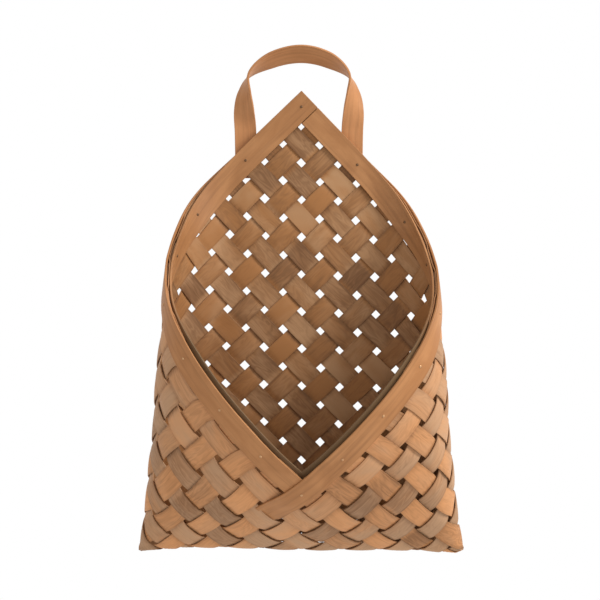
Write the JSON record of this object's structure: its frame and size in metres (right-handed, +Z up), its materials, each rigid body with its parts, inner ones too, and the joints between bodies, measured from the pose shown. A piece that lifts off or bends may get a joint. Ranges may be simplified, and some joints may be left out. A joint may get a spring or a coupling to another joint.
{
  "type": "hanging envelope basket",
  "caption": "Flat wall-hung envelope basket plaited on the bias from thin wood strips, with a pointed open mouth, a doubled wood rim and a nailed bent-wood hanging handle.",
  "frame": {"origin": "hook seat: middle of the inner face of the handle's crown, where a hook or peg bears", "axes": "+Z up, +Y towards the wall behind the basket, the open front faces -Y, +X to the viewer's right"},
  "size_m": [0.2907, 0.1115, 0.4442],
  "materials": {
    "strip_right": "thin sawn splint, stained mid brown, satin",
    "strip_left": "thin sawn splint, stained mid brown, satin",
    "rim_band": "thicker splint, warm stain, satin",
    "handle": "bent strap, warm stain, satin",
    "nail": "small dulled round head"
  },
  "bodies": {
    "root": {"strip_right_01": "strip_right", "strip_right_02": "strip_right", "strip_right_03": "strip_right", "strip_right_04": "strip_right", "strip_right_05": "strip_right", "strip_right_06": "strip_right", "strip_right_07": "strip_right", "strip_right_08": "strip_right", "strip_right_09": "strip_right", "strip_left_01": "strip_left", "strip_left_02": "strip_left", "strip_left_03": "strip_left", "strip_left_04": "strip_left", "strip_left_05": "strip_left", "strip_left_06": "strip_left", "strip_left_07": "strip_left", "strip_left_08": "strip_left", "strip_left_09": "strip_left", "rim_outer_right": "rim_band", "rim_outer_left": "rim_band", "rim_inner_right": "rim_band", "rim_inner_left": "rim_band", "handle_strap": "handle", "nail_peak": "nail", "nail_front": "nail", "nail_handle_left": "nail", "nail_left_06": "nail", "nail_left_08": "nail", "nail_left_10": "nail", "nail_left_12": "nail", "nail_left_14": "nail", "nail_left_16": "nail", "nail_handle_right": "nail", "nail_right_06": "nail", "nail_right_08": "nail", "nail_right_10": "nail", "nail_right_12": "nail", "nail_right_14": "nail", "nail_right_16": "nail"}
  },
  "joints": []
}
